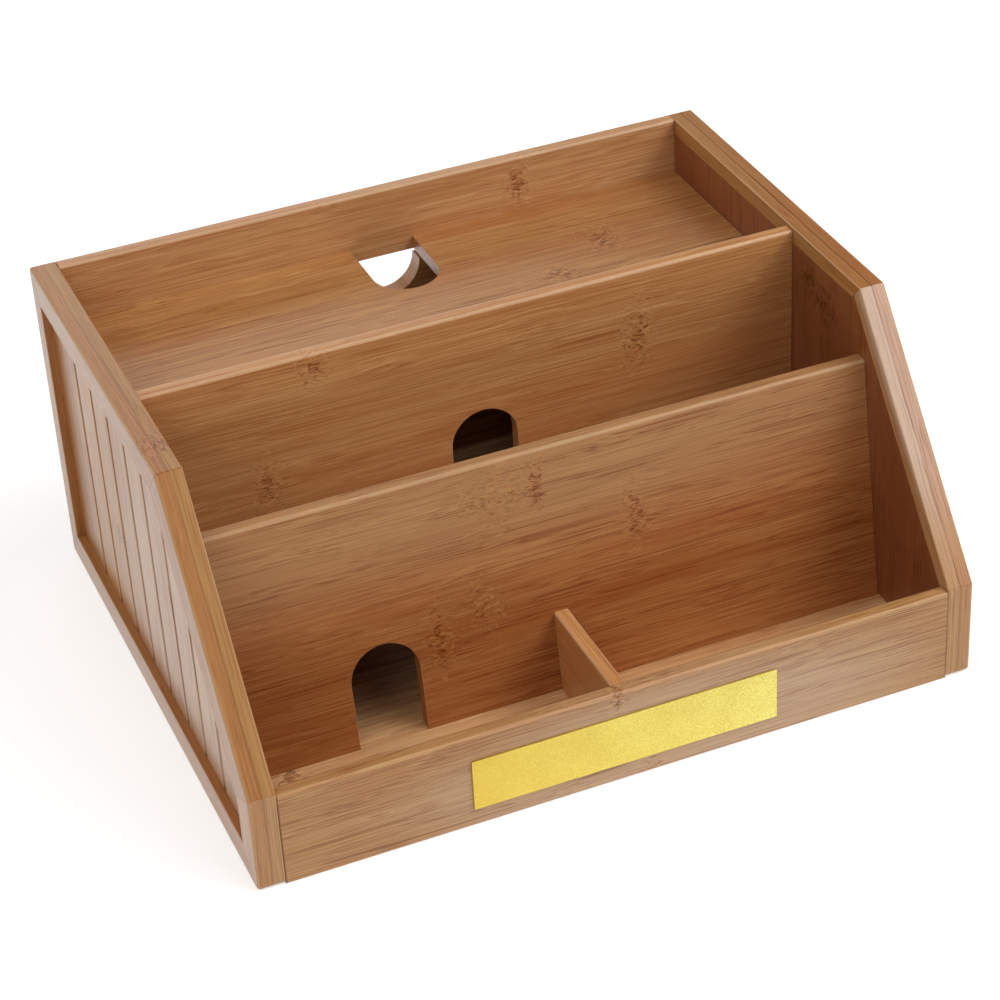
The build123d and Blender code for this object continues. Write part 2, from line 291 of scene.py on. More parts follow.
@dataclass(frozen=True)
class Ellipse:
    """Place on a piece: its middle and half sizes, along and across the grain."""

    along: float
    across: float
    half_along: float = 6.0
    half_across: float = 10.0

    def reach(self, tree: NodeTree, place: NodeSocket) -> NodeSocket:
        """Works out how far each point is from the middle.

        Args:
            tree: the material's nodes.
            place: millimetres along the grain, across it and through the piece.

        Returns:
            The distance, with 1 on the ellipse.
        """
        centred = add(tree, "VectorMath", (place, (self.along, self.across, 0.0)), operation="SUBTRACT")
        size = (1 / self.half_along, 1 / self.half_across, 0.0)
        share = add(tree, "VectorMath", (centred, size), operation="MULTIPLY")
        return add(tree, "VectorMath", (share,), "Value", operation="LENGTH")


@dataclass(frozen=True)
class Knuckle(Ellipse):
    """Growth ring of the culm where it crosses a strip. Only a dense one has its middle full of dark specks."""

    dense: bool = True


@dataclass(frozen=True)
class PaintedLightAndShade(Ellipse):
    """Soft patch of paler colour painted as light, or of darker colour painted as shade, which fades into the rest
    of the board.
    """

    share: float = 0.3
    colour: str = "#C0A078"


# Sizes of the bamboo's patterns in millimetres: along the grain, across it and through the piece. A real fibre is
# under 0.1 mm across, too fine to show, so HAIR is drawn three times as coarse.
WANDER, SWIRL = (75.0, 10.0, 10.0), (4.0, 1.8, 1.8)
BAND, RUDDY_BAND, CROWD = (130.0, 8.0, 8.0), (110.0, 11.0, 11.0), (70.0, 5.0, 5.0)
HAIR = (34.0, 0.3, 0.3)
RAGGED_LIMIT, BRIGHT_SPECK = (2.2, 1.8, 1.8), (2.6, 0.9, 0.9)
CLOSE_SPECK, SPARSE_SPECK = (2.1, 0.62, 0.62), (2.6, 0.6, 0.6)
GLUE_SWAY = (30.0, 30.0, 30.0)
PLY, PLY_SHIFT = 9.0, 0.37
RELIEF = 0.05

# How much of a board's tone each layer gives, and how far growth rings, the rubbed edges with their painted
# highlight, and the painted shade in hollows change colour
STRIP_TONE, BAND_TONE, LINE_TONE, HAIR_TONE = 0.12, 0.18, 0.40, 0.30
STAIN, WEAR_AND_HIGHLIGHT, PAINTED_HOLLOW_SHADE = 0.38, 0.38, 0.9

# Where a patch or a growth ring begins and where it is full, as shares of its half size, and where its core does
FADE, CORE_FADE = (1.3, 0.5), (0.75, 0.2)

# Glue darkens the last of a joint's wood: half the width of a line along a seam, which sways a little, and where one
# at an end is full. Outside the seam the wood is a little redder.
GLUE = "#703A14"
SEAM_HALF, SEAM_FULL, SEAM_SWAY = 0.34, 0.10, 0.2
OUTER_START, OUTER_SHARE = 0.2, 0.3
END_START, END_FULL, END_SHARE = 0.45, 0.15, 0.6


@dataclass(frozen=True)
class CarbonisedBamboo:
    """Laminated bamboo, steamed until brown all through, sanded and sealed with satin lacquer.

    Strips differ a little in tone, fine reddish fibre lines about half a millimetre apart run far along the grain,
    and growth rings cross the strips as columns of short dark specks. Edges are rubbed paler and carry a painted
    highlight, the bottoms of the panel's grooves are painted dark as shade, and glue shows as dark lines. Some
    pieces also carry patches of painted light and shade. The lacquer is smooth, so at grazing angles it shows a soft
    pale sheen.
    """

    deep: str = "#945626"
    pale: str = "#D09D62"
    ruddy: str = "#AA602D"
    fibre: str = "#77340E"
    # fleck colours the growth rings' specks and also the painted shade in hollows; edge colours the rubbed edges
    # together with their painted highlight
    fleck: str = "#652B0C"
    edge: str = "#DDAE78"
    strip: float = 20.0
    line: float = 0.45
    line_run: float = 120.0
    coat: float = 1.0
    density: float = 1.0
    cloud: float = 1.0
    patches: tuple[PaintedLightAndShade, ...] = ()

    def grain(
        self,
        tree: NodeTree,
        place: NodeSocket,
        size: tuple[float, float, float],
        detail: float,
        span: tuple[float, float],
        becomes: tuple[float, float] = (0.0, 1.0),
    ) -> NodeSocket:
        """Lays out noise that is drawn out along the grain.

        Args:
            tree: the material's nodes.
            place: millimetres along the grain, across it and through the piece.
            size: the pattern's size in those three directions, in millimetres.
            detail: octaves of finer noise.
            span: the two values of the noise that count as none and as full.
            becomes: what these two become.

        Returns:
            The pattern.
        """
        scaled = add(tree, "VectorMath", (place, tuple(1 / s for s in size)), operation="MULTIPLY")
        noise = add(tree, "TexNoise", {"Vector": scaled, "Scale": 1.0, "Detail": detail, "Roughness": 0.6})
        return add(tree, "MapRange", (noise, *span, *becomes), interpolation_type="SMOOTHSTEP")

    def rings(
        self,
        tree: NodeTree,
        place: NodeSocket,
        own: NodeSocket,
        knuckles: Sequence[Knuckle],
    ) -> tuple[NodeSocket, NodeSocket]:
        """Marks the growth rings, each an ellipse with ragged limits.

        Args:
            tree: the material's nodes.
            place: millimetres along the grain, across it and through the piece.
            own: the same, moved by the piece's seed.
            knuckles: the growth rings that show.

        Returns:
            How much of a ring each point is, for the wide loose part and for the dense middle.
        """
        ragged = self.grain(tree, own, RAGGED_LIMIT, 2, (0.3, 0.7), (-0.5, 0.5))
        nearest = [1.4, 1.4]
        for knuckle in knuckles:
            reach = add(tree, "Math", (knuckle.reach(tree, place), ragged), operation="ADD")
            for i in range(1 + knuckle.dense):
                nearest[i] = add(tree, "Math", (reach, nearest[i]), operation="MINIMUM")
        loose = add(tree, "MapRange", (nearest[0], *FADE), interpolation_type="SMOOTHSTEP")
        core = add(tree, "MapRange", (nearest[1], *CORE_FADE), interpolation_type="SMOOTHSTEP")
        return loose, core

    def material(
        self,
        name: str,
        lay: Lay,
        seed: float,
        knuckles: Sequence[Knuckle] = (),
        glue_line: float | None = None,
        glue_share: float = 0.75,
        half_length: float | None = None,
    ) -> Material:
        """Builds the bamboo of one piece.

        Args:
            name: the material's name.
            lay: how its grain lies.
            seed: moves the pattern, so that no two pieces share it.
            knuckles: the growth rings that show on it.
            glue_line: where two layers meet, through the thickness.
            glue_share: how dark their joint is.
            half_length: how far from the middle its ends are glued to the sides, where the glue shows as a line.

        Returns:
            The material.
        """
        material, tree = blank(name)
        place = add(tree, "TexCoord", out="Object")
        turned = {"Vector": place, "Rotation": lay.turn(), "Scale": (1 / MM,) * 3}
        place = add(tree, "Mapping", turned)
        own = add(tree, "VectorMath", (place, (seed * 37.0, seed * 91.0, seed * 53.0)), operation="ADD")

        # Fibres wander a little along a strip, and swirl where they cross a growth ring
        wander = self.grain(tree, own, WANDER, 2, (0.2, 0.8), (-1.0, 1.0))
        if knuckles:
            loose, core = self.rings(tree, place, own, knuckles)
            swirl = self.grain(tree, own, SWIRL, 1, (0.25, 0.75), (-1.3, 1.3))
            wander = add(tree, "Math", (swirl, loose, wander), operation="MULTIPLY_ADD")
        aside = add(tree, "CombineXYZ", {1: wander, 2: wander})
        bent = add(tree, "VectorMath", (own, aside), operation="ADD")

        # Strip by strip tone, then slow bands, fibre lines and hair-fine streaks
        row = add(tree, "Math", (add(tree, "SeparateXYZ", (own,), 2), PLY), operation="DIVIDE")
        row = add(tree, "Math", (row,), operation="FLOOR")
        lane = add(tree, "Math", (add(tree, "SeparateXYZ", (own,), 1), self.strip), operation="DIVIDE")
        lane = add(tree, "Math", (row, PLY_SHIFT, lane), operation="MULTIPLY_ADD")
        lane = add(tree, "Math", (lane,), operation="FLOOR")
        strip = add(tree, "TexWhiteNoise", {"W": lane}, noise_dimensions="1D")
        band = self.grain(tree, bent, BAND, 2, (0.32, 0.68))
        lines = self.grain(tree, bent, (self.line_run, self.line, self.line), 2, (0.34, 0.66))
        hair = self.grain(tree, bent, HAIR, 1, (0.3, 0.7))
        tone = add(tree, "Math", (strip, STRIP_TONE), operation="MULTIPLY")
        for layer, share in ((band, BAND_TONE * self.cloud), (lines, LINE_TONE), (hair, HAIR_TONE)):
            tone = add(tree, "Math", (layer, share, tone), operation="MULTIPLY_ADD")
        ruddy = self.grain(tree, bent, RUDDY_BAND, 2, (0.42, 0.72), (0.0, 0.4 * self.cloud))
        crowd = self.grain(tree, bent, CROWD, 2, (0.35, 0.65), (0.3 * self.density, self.density))
        slim = self.line * 0.9
        dark = self.grain(tree, bent, (self.line_run * 0.6, slim, slim), 1, (0.52, 0.66), (0.0, 0.6))
        dark = add(tree, "Math", (dark, crowd), operation="MULTIPLY")
        layers = [(tone, self.pale), (ruddy, self.ruddy)]
        # Patches of painted light and shade are laid over the tone
        for patch in self.patches:
            reach = patch.reach(tree, place)
            share = add(tree, "MapRange", (reach, *FADE, 0.0, patch.share), interpolation_type="SMOOTHSTEP")
            layers.append((share, patch.colour))
        layers.append((dark, self.fibre))

        # The relief stands on the streaks and lines, and dark fibres and specks are sunk in it
        height = add(tree, "Math", (hair, 0.3), operation="MULTIPLY")
        height = add(tree, "Math", (lines, 0.5, height), operation="MULTIPLY_ADD")
        height = add(tree, "Math", (height, dark), operation="SUBTRACT")

        if knuckles:
            stain = add(tree, "Math", (core, STAIN), operation="MULTIPLY")
            specks = (
                (BRIGHT_SPECK, (0.52, 0.62), 0.6, loose),
                (CLOSE_SPECK, (0.48, 0.58), 0.72, core),
                (SPARSE_SPECK, (0.54, 0.66), 0.45, loose),
            )
            bright, close, sparse = (
                add(tree, "Math", (self.grain(tree, own, size, 1, span, (0.0, most)), where), operation="MULTIPLY")
                for size, span, most, where in specks
            )
            flecks = add(tree, "Math", (close, sparse), operation="MAXIMUM")
            layers += [(stain, self.ruddy), (bright, self.pale), (flecks, self.fleck)]
            height = add(tree, "Math", (height, flecks), operation="SUBTRACT")
        if glue_line is not None:
            limits = (-glue_line - SEAM_SWAY, SEAM_SWAY - glue_line)
            sway = self.grain(tree, own, GLUE_SWAY, 2, (0.3, 0.7), limits)
            away = add(tree, "Math", (add(tree, "SeparateXYZ", (place,), 2), sway), operation="ADD")
            away = add(tree, "Math", (away, math.copysign(1.0, glue_line)), operation="MULTIPLY")
            outer = add(tree, "MapRange", (away, 0.0, OUTER_START, 0.0, OUTER_SHARE))
            away = add(tree, "Math", (away,), operation="ABSOLUTE")
            seam = add(tree, "MapRange", (away, SEAM_HALF, SEAM_FULL, 0.0, glue_share))
            layers += [(outer, self.ruddy), (seam, GLUE)]

        # Edges are rubbed pale and painted with a highlight, the hollows are painted dark as shade, and the ends are
        # dark with glue
        wear_and_painted_light = add(tree, "Attribute", out="Fac", attribute_name=EASE)
        layers.append((add(tree, "Math", (wear_and_painted_light, WEAR_AND_HIGHLIGHT), operation="MULTIPLY"), self.edge))
        layers.append((add(tree, "Math", (wear_and_painted_light, -PAINTED_HOLLOW_SHADE), operation="MULTIPLY"), self.fleck))
        if half_length is not None:
            end = add(tree, "Math", (add(tree, "SeparateXYZ", (place,)),), operation="ABSOLUTE")
            limits = (half_length - END_START, half_length - END_FULL)
            squeezed = add(tree, "MapRange", (end, *limits, 0.0, END_SHARE))
            layers.append((squeezed, GLUE))

        # Each layer is laid over the darkest wood in turn
        colour = linear(self.deep)
        for share, code in layers:
            colour = add(tree, "Mix", {0: share, 6: colour, 7: linear(code)}, 2, data_type="RGBA")

        # The lacquer is a little thinner and duller where the wood is open
        bump = add(tree, "Bump", {"Strength": 0.3, "Distance": RELIEF * MM, "Height": height})
        rough = add(tree, "Math", (dark, hair), operation="ADD")
        film = add(tree, "MapRange", (rough, 0.0, 1.4, self.coat, self.coat * 0.5))
        rough = add(tree, "MapRange", (rough, 0.0, 1.4, 0.34, 0.50))
        look = {
            "Base Color": colour,
            "Roughness": rough,
            "IOR": 1.25,
            "Coat Weight": film,
            "Coat Roughness": 0.3,
            "Coat IOR": 1.4,
            "Normal": bump,
        }
        add(tree, "OutputMaterial", {"Surface": add(tree, "BsdfPrincipled", look)})
        return material


@dataclass(frozen=True)
class SatinMetal:
    """Metal with a fine even tooth that scatters its highlight.

    The tooth gives a soft sparkle, and slow cloudy changes of tone keep it from looking printed. Real tooth is under
    0.1 mm, too fine to show, so it is drawn a few times as coarse.
    """

    name: str
    colour: str
    shade: str
    roughness: float = 0.3
    tooth: float = 0.25
    depth: float = 0.01
    cloudy: float = 1.0
    painted_reflection_end: str | None = None
    half_length: float = 46.0

    def material(self) -> Material:
        """Builds the metal.

        Returns:
            The material.
        """
        material, tree = blank(self.name)
        place = add(tree, "TexCoord", out="Object")
        fine = add(tree, "TexNoise", {"Vector": place, "Scale": 1 / (self.tooth * MM), "Detail": 2.0})
        cloud = add(tree, "TexNoise", {"Vector": place, "Scale": 1 / (14 * MM), "Detail": 3.0})
        share = add(tree, "Math", (cloud, self.cloudy, fine), operation="MULTIPLY_ADD")
        middle = (1 + self.cloudy) / 2
        share = add(tree, "MapRange", (share, middle - 0.3, middle + 0.3))
        bright = linear(self.colour)
        # Towards the plate's right end the colour drifts to a paler one, a painted reflection
        if self.painted_reflection_end is not None:
            half = self.half_length * MM
            across = add(tree, "MapRange", (add(tree, "SeparateXYZ", (place,)), -half, half))
            bright = add(tree, "Mix", {0: across, 6: bright, 7: linear(self.painted_reflection_end)}, 2, data_type="RGBA")
        look = {
            "Base Color": add(tree, "Mix", {0: share, 6: linear(self.shade), 7: bright}, 2, data_type="RGBA"),
            "Metallic": 1.0,
            "Roughness": add(tree, "MapRange", (fine, 0.3, 0.7, self.roughness - 0.06, self.roughness + 0.08)),
            "Normal": add(tree, "Bump", {"Strength": 0.5, "Distance": self.depth * MM, "Height": fine}),
        }
        add(tree, "OutputMaterial", {"Surface": add(tree, "BsdfPrincipled", look)})
        return material


# The boards are sawn from different culms: each has its own tone, and a side frame's narrow strips stand on edge.
# Patches of painted light and shade, and the panel's shaded inner face, are noted where they are set
PLAIN = CarbonisedBamboo()
FRONT = CarbonisedBamboo(
    deep="#A06634",
    pale="#D2A771",
    ruddy="#AE6936",
    fibre="#7D3A12",
    edge="#D8A878",
    line=0.38,
    density=1.1,
    cloud=0.4,
    # A pale pinkish patch right of the middle and low down is a painted reflection of the floor in the lacquer
    patches=(PaintedLightAndShade(14, 10, 76, 20, 0.42, "#DCC3AC"),),
)
GOLDEN = CarbonisedBamboo(
    deep="#AD6D3A", pale="#DDAF7A", ruddy="#BC6E39", fibre="#863C11", fleck="#743610", edge="#E6CAA8", density=0.6
)
AMBER = replace(GOLDEN, deep="#AE6933", pale="#DFA96E")
RUDDY = CarbonisedBamboo(
    deep="#8F4B1E",
    pale="#C6884F",
    ruddy="#A04F20",
    fibre="#712909",
    edge="#E2BE96",
    coat=0.3,
    # The front divider is painted paler towards its top as painted light, and darker low at its left end as painted
    # shade cast by the front board
    patches=(PaintedLightAndShade(-30, 82, 200, 30, 0.32, "#BFA272"), PaintedLightAndShade(-45, 26, 80, 22, 0.16, "#7A3408")),
)
PALE = CarbonisedBamboo(deep="#AC6F3D", pale="#EFC490", ruddy="#B97341", fibre="#84451B")
FRAME = CarbonisedBamboo(deep="#9C6733", pale="#C29257", density=0.8, strip=9.0)
PALE_FRAME = CarbonisedBamboo(
    deep="#A9784A", pale="#D1A876", ruddy="#B26F3B", fibre="#7D3D14", density=0.8, strip=9.0
)
# The right slope rail alone is paler than the left, with a narrow pale band along it: a painted sheen of the
# lacquer's reflection
PAINTED_SHEEN_SLOPE = replace(PALE_FRAME, patches=(PaintedLightAndShade(38, 89.35, 50, 2.5, 0.45, "#DCC6B8"),))
PANEL = CarbonisedBamboo(
    deep="#A87140",
    pale="#D4A267",
    ruddy="#BB6E36",
    strip=16.3,
    coat=0.85,
    # A darker strip along the back edge is painted shade, and a pale greyish-pink area low at the front is a painted
    # sheen from the lacquer
    patches=(PaintedLightAndShade(50, -76, 200, 12, 0.45, "#A06A38"), PaintedLightAndShade(32, 32, 60, 60, 0.4, "#E2CDBB")),
)
# The panel's inner faces get a darker copy of its bamboo, painted shade for the side turned away from the lamps,
# with a paler patch high towards the back as painted light
SHADED_INNER_FACE = CarbonisedBamboo(
    deep="#7A4322",
    pale="#9B6038",
    ruddy="#87431D",
    fibre="#5A2508",
    fleck="#341404",
    strip=16.3,
    coat=0.5,
    patches=(PaintedLightAndShade(93, -48, 12, 45, 0.35, "#AA6840"),),
)
# Beech is paler and more even, with hardly any lines
BEECH = CarbonisedBamboo(deep="#B08A5E", pale="#CFAE82", ruddy="#BE9468", fibre="#9A7448", density=0.4)


# Sub-assemblies


def stand_for(piece: Object, node: str) -> None:
    """Lets a finished piece of the case stand for its node.

    Args:
        piece: the finished piece.
        node: the node's name.
    """
    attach(piece, "case")
    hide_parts(node)


class Hand(Enum):
    """Left side or right side, as the sign of X on its outer face."""

    LEFT = -1.0
    RIGHT = 1.0


@dataclass
class SideFrame:
    """One mitred side frame and the beaded panel that is let into it from inside."""

    hand: Hand
    width: float = 216.0
    depth: float = 179.0
    height: float = 101.0
    front_y: float = -89.2
    front_height: float = 30.8
    bend_setback: float = 54.5
    thick: float = 7.9
    member_widths: tuple[float, ...] = (9.5, 8.2, 9.3, 11.8, 10.8)
    inner_strip: float = 5.0
    recess: float = 2.7
    corner_rounds: tuple[float, ...] = (2.0, 0.85, 0.85, 0.85, 1.6)
    outer_arris: float = 0.8
    inner_arris: float = 0.5
    seam: float = 0.10
    groove_pitch: float = 16.3
    groove_count: int = 8
    groove_width: float = 1.9
    groove_depth: float = 1.1
    shoulder: float = 0.35
    lip: float = 0.3
    rebate_arris: float = 0.12
    outer_layer: float = 0.52

    def outline(self) -> np.ndarray:
        """Works out the side's corners in Y and Z, with the slope running from the toe's top to the bend.

        Returns:
            The corners, anticlockwise from the toe, as points x 2.
        """
        front, back, top = self.front_y, self.front_y + self.depth, self.height
        bend = front + self.bend_setback
        return np.array([(front, 0.0), (back, 0.0), (back, top), (bend, top), (front, self.front_height)])

    def inset(self, widths: Sequence[float]) -> np.ndarray:
        """Moves the outline's edges in, each by its own width, to corners where n.p = n.a + w on both edges.

        Args:
            widths: how far each edge moves.

        Returns:
            The corners, with n an edge's inward unit normal and a its first corner.
        """
        corners = self.outline()
        edges = np.roll(corners, -1, axis=0) - corners
        edges /= np.linalg.norm(edges, axis=1, keepdims=True)
        normals = np.stack([-edges[:, 1], edges[:, 0]], axis=1)
        reach = np.sum(normals * corners, axis=1) + np.asarray(widths)
        pairs = np.stack([np.roll(normals, 1, axis=0), normals], axis=1)
        return np.linalg.solve(pairs, np.stack([np.roll(reach, 1), reach], axis=1)[..., None])[..., 0]

    def profile(self, member_width: float) -> tuple[np.ndarray, np.ndarray]:
        """Section of a frame member: distance in from its outer edge, and depth from its outer face.

        Its rounds are quarters, (r (1 - sin t), r (1 - cos t)), and the rebate for the panel is square.

        Args:
            member_width: width of the outer face.

        Returns:
            The section's points, and how much of an eased edge each is.
        """
        turn = quarter_turn()
        easy, deep = 1 - np.sin(turn), 1 - np.cos(turn)
        a, b, lip, c = self.outer_arris, self.inner_arris, self.lip, self.rebate_arris
        outer = np.stack([a * easy[::-1], a * deep[::-1]], axis=1)
        edge = np.stack([member_width - lip * easy, lip * deep], axis=1)
        rebate = np.array(
            [
                (member_width, self.recess),
                (self.inner_strip, self.recess),
                (self.inner_strip, self.thick - c),
                (self.inner_strip - c, self.thick),
            ]
        )
        inner = np.stack([b * easy, self.thick - b * deep], axis=1)
        wear_and_painted_light = np.sin(2 * turn)
        flat = np.zeros(len(rebate))
        return np.concatenate([outer, edge, rebate, inner]), np.concatenate([wear_and_painted_light, wear_and_painted_light * 0.7, flat, wear_and_painted_light])

    def member_rings(self, i: int) -> tuple[np.ndarray, np.ndarray]:
        """Rings of member i, its section carried along its edge of the outline from mitre to mitre.

        A point d in from the edge lies at A + d M on the mitre, with M the step from the outline's corner to the
        opening's per unit of width. Where d is less than the corner's radius R it lies on the corner's round, at
        O + (R - d) (cos b, sin b). The ring at each end is drawn in by the seam, which leaves a fine V at the mitre.

        Args:
            i: number of the member, from the bottom rail round to the front stile.

        Returns:
            The rings, and how much of an eased edge each point is.
        """
        corners, opening = self.outline(), self.inset(self.member_widths)
        wide = self.member_widths[i]
        section, wear_and_painted_light = self.profile(wide)
        d, x = section[:, 0], section[:, 1]
        ends = []
        for corner, other, sign in ((i, (i + 1) % 5, 1.0), ((i + 1) % 5, i, -1.0)):
            along = corners[other] - corners[corner]
            along /= np.linalg.norm(along)
            out = np.array([along[1], -along[0]]) * sign
            mitre = (opening[corner] - corners[corner]) / wide
            back = corners[(corner - int(sign)) % 5] - corners[corner]
            back /= np.linalg.norm(back)
            half = math.acos(np.clip(along @ back, -1, 1)) / 2
            radius = self.corner_rounds[corner]
            centre = corners[corner] + along * radius / math.tan(half) - out * radius
            sweep = math.pi / 2 - half
            sharp = corners[corner] + d[:, None] * mitre
            rows = []
            for share in (1.0, 1.0, 0.66, 0.33, 0.0):
                ray = out * math.cos(sweep * share) - along * math.sin(sweep * share)
                round_points = centre + (radius - d)[:, None] * ray
                rows.append(np.where((d < radius)[:, None], round_points, sharp))
            rows = np.array(rows)
            rows[1:] += along * self.seam
            shrunk = section + mitres(section) * self.seam
            slide = (shrunk - section)[:, :1] * mitre
            rows[0] += slide
            ends.append((rows, np.stack([shrunk[:, 1], x, x, x, x])))
        (first, first_x), (last, last_x) = ends
        flat = np.concatenate([first, last[::-1]])
        depth = np.concatenate([first_x, last_x[::-1]])
        side_x = self.hand.value * (self.width / 2 - depth)
        rings = np.concatenate([side_x[..., None], flat], axis=2)
        return rings, np.broadcast_to(wear_and_painted_light, depth.shape).copy()

    def panel_rings(self) -> tuple[np.ndarray, np.ndarray]:
        """Rings of the panel, one at each place across it, from the seat's foot to the seat's top line and back.

        The outer face dips by h max(0, 1 - 2 |y - c| / g) at each groove, with its shoulders and its bottom eased.

        Returns:
            The rings, and how much of an eased edge each point is, with -1 at the bottom of a groove.
        """
        seat = self.inset([self.inner_strip] * 5)
        opening = self.inset(self.member_widths)
        low_y, high_y = opening[0][0], opening[1][0]
        half = self.groove_width / 2
        side = np.array([-half - self.shoulder, -half - 0.4 * self.shoulder, -half + 0.1, -0.3, 0.0])
        sink = np.array([0.0, 0.04, 0.20, 0.96, 1.0]) * self.groove_depth
        # The groove bottoms get -1, where the bamboo is painted dark as shade, and their shoulders a paler rubbed
        # edge with a painted highlight
        wear_and_painted_light = np.array([0.0, 0.5, -0.4, -1.0, -1.0])
        number = np.arange(self.groove_count) - (self.groove_count - 1) / 2
        middles = (low_y + high_y) / 2 + number * self.groove_pitch
        across = np.concatenate([side, -side[-2::-1]])
        y = (middles[:, None] + across).reshape(-1)
        dip = np.tile(np.concatenate([sink, sink[-2::-1]]), self.groove_count)
        ease = np.tile(np.concatenate([wear_and_painted_light, wear_and_painted_light[-2::-1]]), self.groove_count)
        y = np.concatenate([y, [seat[0][0] + 0.01, seat[3][0], seat[1][0] - 0.01]])
        order = np.argsort(y, kind="stable")
        y = y[order]
        dip, ease = (np.concatenate([values, np.zeros(3)])[order] for values in (dip, ease))
        foot = np.full_like(y, seat[0][1])
        top = np.interp(y, [seat[4][0], seat[3][0], seat[2][0]], [seat[4][1], seat[3][1], seat[2][1]])
        outer = self.hand.value * (self.width / 2 - self.recess - dip)
        inner = np.full_like(y, self.hand.value * (self.width / 2 - self.thick))
        corners = ((outer, foot), (outer, top), (inner, top), (inner, foot))
        rings = np.stack([np.stack([x, y, z], axis=1) for x, z in corners], axis=1)
        return rings, np.stack([ease, ease, 0 * ease, 0 * ease], axis=1)

    def build(self) -> list[Object]:
        """Makes and dresses the five members and the panel.

        Returns:
            The six pieces.
        """
        pieces = []
        side = self.hand.name.lower()
        seed = 3.0 if self.hand is Hand.LEFT else 17.0
        glue = self.hand.value * (self.width / 2 - self.thick * self.outer_layer)
        names = ("bottom_rail", "back_stile", "top_rail", "slope_rail", "front_stile")
        lays = (Lay.RAIL, Lay.STILE, Lay.RAIL, Lay.SLOPE, Lay.STILE)
        for i, (name, lay) in enumerate(zip(names, lays)):
            piece = shell(f"{side}_{name}_wood", *self.member_rings(i))
            look = f"carbonised bamboo, {side} {name}"
            bamboo, knuckles, share = FRAME, (), 0.35
            if name == "front_stile":
                bamboo = PALE_FRAME
            # Only the right slope rail carries the painted sheen
            elif name == "slope_rail" and self.hand is Hand.RIGHT:
                bamboo = PAINTED_SHEEN_SLOPE
            elif name == "top_rail" and self.hand is Hand.LEFT:
                knuckles = (Knuckle(-20, 101, 6, 6),)
            elif name == "top_rail":
                share = 0.75
            dress(piece, bamboo.material(look, lay, seed + i, knuckles, glue, share))
            stand_for(piece, f"{side}_{name}")
            pieces.append(piece)
        panel = shell(f"{side}_beaded_panel_wood", *self.panel_rings())
        knuckles = [Knuckle(40, -31, 4, 8)]
        dress(panel, PANEL.material(f"carbonised bamboo, {side} panel", Lay.STILE, seed + 6, knuckles))
        knuckles = [Knuckle(90.5, 5.5, 8, 7), Knuckle(85, 15, 8, 8)]
        inner = SHADED_INNER_FACE.material(f"carbonised bamboo, {side} panel's inner ply", Lay.STILE, seed + 7, knuckles)
        panel.data.materials.append(inner)
        # Faces that look inward take the darker copy, whose colour is painted shade
        normals = np.empty(len(panel.data.polygons) * 3, np.float32)
        panel.data.polygons.foreach_get("normal", normals)
        inward = normals[::3] * self.hand.value < -0.5
        panel.data.polygons.foreach_set("material_index", inward.astype(np.int32))
        stand_for(panel, f"{side}_beaded_panel")
        return [*pieces, panel]


